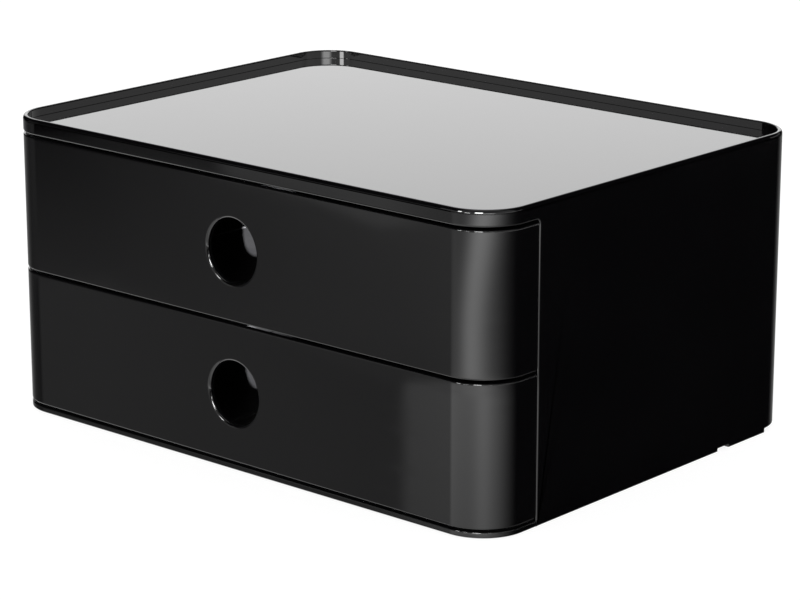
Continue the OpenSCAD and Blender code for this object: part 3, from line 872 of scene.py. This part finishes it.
def wiped(graph, place):
    """Long faint streaks left by a cloth: noise on a stretched copy of the place."""
    pulled = graph.node("ShaderNodeMapping", {}, {"Vector": place, "Scale": cloth_stretch})
    return graph.noise(pulled, 1.0, 4.0).step(0.45, 0.8)


def gloss_colour(graph, place):
    haze = graph.noise(place, 25.0, 3.0) * 0.5 + dust(graph, place) * 6
    return graph.mix(haze.at_most(1), deep_black, hazy_black)


def gloss_roughness(graph, place):
    polished = 0.022 + wiped(graph, place) * 0.03 + graph.noise(place, 60.0) * 0.012
    satin = 0.34 + graph.noise(place, 400.0) * 0.1
    return satin + outside(graph, place) * (polished - satin)


def gloss_grain(graph, place):
    inside_grain = graph.noise(place, 3500.0) * 6e-6
    return inside_grain * (1 - outside(graph, place)) + graph.noise(place, 70.0, 0.0) * 4e-6


gloss_black = plastic("gloss_black", gloss_colour, gloss_roughness, gloss_grain)
print("gloss black has", len(gloss_black.node_tree.nodes), "nodes")

# %% [markdown]
# The trays, the rails and the base's floor aren't polished: their moulds are eroded to a fine grain that
# hides scratches. The rails carry faint lines where the flanges slide. The feet are soft matt rubber.

# %% The duller plastics and the rubber
def satin(dark, light, grain_scale=2600.0, grain_depth=7e-6, rough=0.42):
    """Functions for a satin plastic: slow mottling between two colours over a fine even grain."""

    def colour(graph, place):
        return graph.mix(graph.noise(place, 45.0, 4.0).step(0.3, 0.7), (*dark, 1), (*light, 1))

    def roughness(graph, place):
        return rough + graph.noise(place, 130.0, 3.0) * 0.14

    def grain(graph, place):
        return graph.noise(place, grain_scale, 3.0) * grain_depth

    return colour, roughness, grain


def base_roughness(graph, place):
    return 0.4 - outside(graph, place) * 0.38 + graph.noise(place, 200.0) * 0.04


def rail_grain(graph, place):
    drawn = graph.node("ShaderNodeMapping", {}, {"Vector": place, "Scale": slide_stretch})
    return graph.noise(drawn, 1.0, 2.0) * 5e-6 + graph.noise(place, 2200.0, 2.0) * 4e-6


tray_satin = plastic("tray_satin", *satin((0.017, 0.017, 0.018), (0.023, 0.023, 0.024)))
floor_colour, _, base_grain = satin((0.0095, 0.009, 0.01), (0.014, 0.0135, 0.015))


def base_colour(graph, place):
    return graph.mix(outside(graph, place), floor_colour(graph, place), gloss_colour(graph, place))


base_satin = plastic("base_satin", base_colour, base_roughness, base_grain)
rail_colour, rail_roughness, _ = satin((0.028, 0.028, 0.029), (0.036, 0.036, 0.037), rough=0.3)
rail_satin = plastic("rail_satin", rail_colour, rail_roughness, rail_grain)
rubber = plastic("foot_rubber", *satin((0.03, 0.03, 0.03), (0.05, 0.05, 0.048), 1500.0, 2e-5, 0.72))
FINISHES = {
    "housing": gloss_black, "front_lower": gloss_black, "front_upper": gloss_black, "base": base_satin,
    "tray_lower": tray_satin, "tray_upper": tray_satin,
}
for name, piece in PIECES.items():
    piece.data.materials.append(FINISHES.get(name, rubber))
for name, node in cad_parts.items():
    if "rail" in name:
        node.data.materials.clear()
        node.data.materials.append(rail_satin)
print("materials:", sorted(material.name for material in bpy.data.materials))

# %% [markdown]
# ## The camera
# The camera is where the photograph's perspective puts it: 41 degrees to the right of the front and 16
# degrees above it, 1.24 metres away, with a long lens. It looks straight along its own axis, but is shifted
# a little to the right and up, to what the photograph has in its middle.

# %% Camera
camera_azimuth = 41.36
camera_elevation = 15.745
camera_distance = 1.2397
aim_right = 0.68 * MM
aim_up = 47.27 * MM
camera_lens = 133.57
sensor_width = 36


def view_axes(azimuth, elevation):
    """Right, up and toward, for a viewer at this azimuth and elevation in degrees.

    toward = (sin a cos e, -cos a cos e, sin e); right = z x toward, made one long; up = toward x right.
    """
    a, e = math.radians(azimuth), math.radians(elevation)
    toward = np.array([math.sin(a) * math.cos(e), -math.cos(a) * math.cos(e), math.sin(e)])
    right = np.cross([0, 0, 1], toward)
    right /= np.linalg.norm(right)
    return right, np.cross(toward, right), toward


def set_pose(thing, axes, place):
    """Turns a camera or lamp so that it looks against the third axis, and moves it to the place."""
    thing.matrix_world = Matrix([*np.column_stack([*axes, place]).tolist(), [0, 0, 0, 1]])


def add_camera():
    right, up, toward = view_axes(camera_azimuth, camera_elevation)
    data = bpy.data.cameras.new("camera")
    data.lens, data.sensor_width = camera_lens, sensor_width
    data.clip_start, data.clip_end = 0.05, 50
    camera = add_object("camera", data)
    place = right * aim_right + up * aim_up + toward * camera_distance
    set_pose(camera, (right, up, toward), place)
    bpy.context.scene.camera = camera


add_camera()

# %% [markdown]
# ## The studio
# Polished black shows no colour of its own, only the room, so the room is what gives the box its shape. The
# desk is a dark mirror: below the horizon each direction shows the image of a big soft light, the key,
# which stands in front on the right. Each drawer sees its own image of it. Behind on the right the desk
# stays black and keeps the side wall dark. Above the horizon a large pale wall behind on the left lights
# the top plate at a low angle; a dim room, a bright ceiling, a low bright strip round the right-hand side
# and four small soft boxes draw the edges. All of it is a formula of azimuth and elevation in the world's
# material. Azimuth 0 is the front and 90 the right.

# %% The desk: the key as the two drawers mirror it
seam_azimuth = -40.5
seam_elevation = -17.33
rim_elevation = -14.37
corner_azimuth = -44.5


def around(azimuth, centre, half, soft):
    """1 within half of the centre, 0 past half + soft, the short way round the circle."""
    away = abs(azimuth.math("SUBTRACT", centre).math("WRAP", -180, 180))
    return 1 - away.step(half, half + soft)


def bell(value, centre, left, right):
    """exp(-(distance / width)^2), with a width of its own on each side of the centre."""
    away = value - centre
    off = (away / right).at_least(away / -left)
    return (off * off * -1).math("EXPONENT")


def key_high(azimuth, elevation):
    """Image of the key seen in the upper drawer: a bright middle that leans to the right towards the top.

    Dimmer light lies on both sides of it. Round the left corner the light is tilted: the higher up, the
    darker it is left of the corner and the lighter right of it.
    """
    lean = ((elevation + 16.3) / 2.2).at_least(0) ** 1.5
    core = bell(azimuth, 13 + 25 * lean, 26, 33) * (2.3 + 0.7 * lean)
    tilt = (elevation + 13.8).at_least(-3.5) * (azimuth - corner_azimuth) * 0.0094 - 0.045
    tilt = tilt * around(azimuth, corner_azimuth, 4.5, 6)
    side = azimuth.step(-53, -27) * 0.6 * (1 - azimuth.step(45, 122)) + around(azimuth, -44, 10, 25) * 0.08
    return core + side + tilt


def key_low(azimuth, elevation):
    """Image of the key seen in the lower drawer: broad and even, with a sharp left edge."""
    level = (1 + (elevation + 17.5) * 0.12).at_least(0.5)
    edge = azimuth.step(-40.1, -39.6) * 0.45 + azimuth.step(-40, -32)
    fade = 1 - azimuth.step(50, 125)
    return (bell(azimuth, 40, 20, 20) * 0.75 + edge * fade) * level + azimuth.step(-60, -48) * fade * 0.19


def desk_light(azimuth, elevation):
    """What the dark desk shows: both images of the key, the rim's own, and what lies far off and near by.

    The line between the two images of the key is where the seam between the drawers is seen. Left of
    seam_azimuth both lines rise.
    """
    left = (seam_azimuth - azimuth).at_least(0).at_most(7.8)
    high = (elevation - (seam_elevation + 0.27 * left)).step(-0.1, 0.1)
    keys = key_high(azimuth, elevation) * high + key_low(azimuth, elevation) * (1 - high)
    at_rim = (elevation - (rim_elevation + 0.24 * left)).step(-0.1, 0.15) * around(azimuth, -46.5, 6, 2)
    rim_image = at_rim * (azimuth.step(-45.4, -44.6) * 0.33 - 0.08)
    far = (0.09 + around(azimuth, -140, 15, 50) * 0.24) * (1 - around(azimuth, 128, 30, 30))
    near = (1 - elevation.step(-38, -30)) * 0.35
    under = (1 - elevation.step(-28, -22)) * around(azimuth, -95, 38, 8) * 1.4
    return (far + keys + rim_image) * (1 - elevation.step(-10, -3)) + near + under


# %% The room above the desk
SOFT_BOXES = {  # middle, half sizes and softness in degrees of azimuth and elevation, and the level
    "strip": ((67.5, 11.8), (110.5, 1.4), 2, 1.85),
    "left": ((-18, 21), (3.5, 6), 2, 32),
    "narrow": ((1.5, 11.8), (5, 1.8), 2, 30),
    "broad": ((49, 11.8), (5, 1.8), 14, 15),
    "right": ((27, 22.5), (8, 8.5), 2, 40),
}


def soft_box(azimuth, elevation, centre, half, soft, level):
    """A rectangle of azimuth and elevation with soft edges."""
    across = around(azimuth, centre[0], half[0], soft)
    upright = 1 - abs(elevation - centre[1]).step(half[1] - 0.5, half[1] + 0.5)
    return across * upright * level


def room_light(azimuth, elevation):
    """The pale wall behind on the left, a glow in front on the left, the room, ceiling and soft boxes."""
    wall = around(azimuth, -139, 20, 8) * elevation.step(1, 4) * (1 - elevation.step(50, 60)) * 1.77
    front = around(azimuth, -45, 20, 15) * elevation.step(-8, -2) * (1 - elevation.step(-8, 30))
    front = front * (azimuth.step(-45.6, -44.4) * 0.3 + 0.15)
    room = around(azimuth, 45, 62, 12) * elevation.step(-4, 4) * (1 - elevation.step(45, 60)) * 0.55
    light = wall + front + room + elevation.step(60, 75)
    for shape in SOFT_BOXES.values():
        light = light + soft_box(azimuth, elevation, *shape)
    return light


# %% The world
def studio_light(azimuth, elevation):
    """What a mirror sees; everything else sees an even white."""
    return desk_light(azimuth, elevation) + room_light(azimuth, elevation)


world = bpy.data.worlds.new("studio")
world.use_nodes = True
bpy.context.scene.world = world
graph = Graph(world.node_tree)
x, y, z = graph.apart(graph.node("ShaderNodeTexCoord", output=0))
degree = 180 / math.pi
azimuth = x.math("ARCTAN2", y * -1) * degree
elevation = z.math("ARCSINE") * degree
glossy = graph.node("ShaderNodeLightPath").other("Is Glossy Ray")
level = glossy * studio_light(azimuth, elevation) + (1 - glossy)
background = graph.node("ShaderNodeBackground", {}, {"Color": level, "Strength": 1.0})
graph.node("ShaderNodeOutputWorld", {}, [background])
bpy.context.scene.view_settings.view_transform = "Standard"
print("the studio is a graph of", len(world.node_tree.nodes), "nodes")

# %% [markdown]
# ## The desk, the cards and the lamps
# The desk is a pale plane. To the camera it is as bright as the background and keeps the box's soft shadow.
# Two low black cards stand close by the rim, where only mirrors see them. Two narrow lamps, low on the
# right, shine on nothing but the trays: each leaves a bright patch behind its finger hole.

# %% Desk
desk_reach = 6.0
desk_white = 1.15
desk_share = 0.75


def add_sheet(name, corners):
    """A flat four-cornered object, and the graph of its own material."""
    mesh = bpy.data.meshes.new(name)
    mesh.from_pydata(corners, [], [(0, 1, 2, 3)])
    material, graph = new_material(name)
    mesh.materials.append(material)
    return add_object(name, mesh), graph


def add_desk():
    """A pale square, part white by itself to the camera, so that only the shadow near the box shows."""
    signs = [(-1, -1), (1, -1), (1, 1), (-1, 1)]
    desk, graph = add_sheet("desk", [(desk_reach * x, desk_reach * y, 0) for x, y in signs])
    pale = graph.node("ShaderNodeBsdfDiffuse", {}, {"Color": (0.9, 0.9, 0.9, 1)})
    white = graph.node("ShaderNodeEmission", {}, {"Color": (1, 1, 1, 1), "Strength": desk_white})
    camera_ray = graph.node("ShaderNodeLightPath")
    surface = graph.node("ShaderNodeMixShader", {}, [camera_ray * desk_share, pale, white])
    graph.node("ShaderNodeOutputMaterial", {}, [surface])
    desk.visible_glossy = False


add_desk()

# %% Black cards beside the rim
card_gap = 1.5 * MM
card_z = (box_h - 1.0 * MM, box_h + 2.2 * MM)


def add_card(name, one, other):
    """A low black strip that only mirrors see: it keeps the bright strip out of the rim's edge."""
    low, high = card_z
    card, graph = add_sheet(name, [(*one, low), (*other, low), (*other, high), (*one, high)])
    black = graph.node("ShaderNodeBsdfDiffuse", {}, {"Color": (0, 0, 0, 1)})
    graph.node("ShaderNodeOutputMaterial", {}, [black])
    card.visible_camera = card.visible_diffuse = card.visible_transmission = card.visible_shadow = False


add_card("front_card", (corner_r - half_w, -half_d - card_gap), (half_w - 25 * MM, -half_d - card_gap))
add_card("side_card", (half_w + card_gap, corner_r - half_d), (half_w + card_gap, half_d - corner_r))

# %% Lamps through the finger holes
lamp_azimuth = 39.4
lamp_elevation = 7.8
lamp_distance = 1.3
lamp_power = 3300.0
lamp_r = 6 * MM
beam_angle = math.radians(1)
beam_blend = 0.1
beam_aim = {"lower": np.array([-4.2, 0, -9.5]) * MM, "upper": np.array([-0.8, 0, -10.5]) * MM}
lit = bpy.data.collections.new("lit_by_the_lamps")


def add_lamp(drawer):
    """The narrowest spot there is, 11 mm in radius at the hole, aimed at the hole's lower part."""
    lit.objects.link(PIECES[f"tray_{drawer}"])
    data = bpy.data.lights.new(f"lamp_{drawer}", "SPOT")
    data.energy, data.shadow_soft_size = lamp_power, lamp_r
    data.spot_size, data.spot_blend = beam_angle, beam_blend
    lamp = add_object(f"lamp_{drawer}", data)
    lamp.light_linking.receiver_collection = lit
    lamp.visible_glossy = False
    aim = beam_aim[drawer] + (0, -half_d, (front_low[drawer] + front_high[drawer]) / 2)
    axes = view_axes(lamp_azimuth, lamp_elevation)
    set_pose(lamp, axes, aim + axes[2] * lamp_distance)


for drawer in DRAWERS:
    add_lamp(drawer)
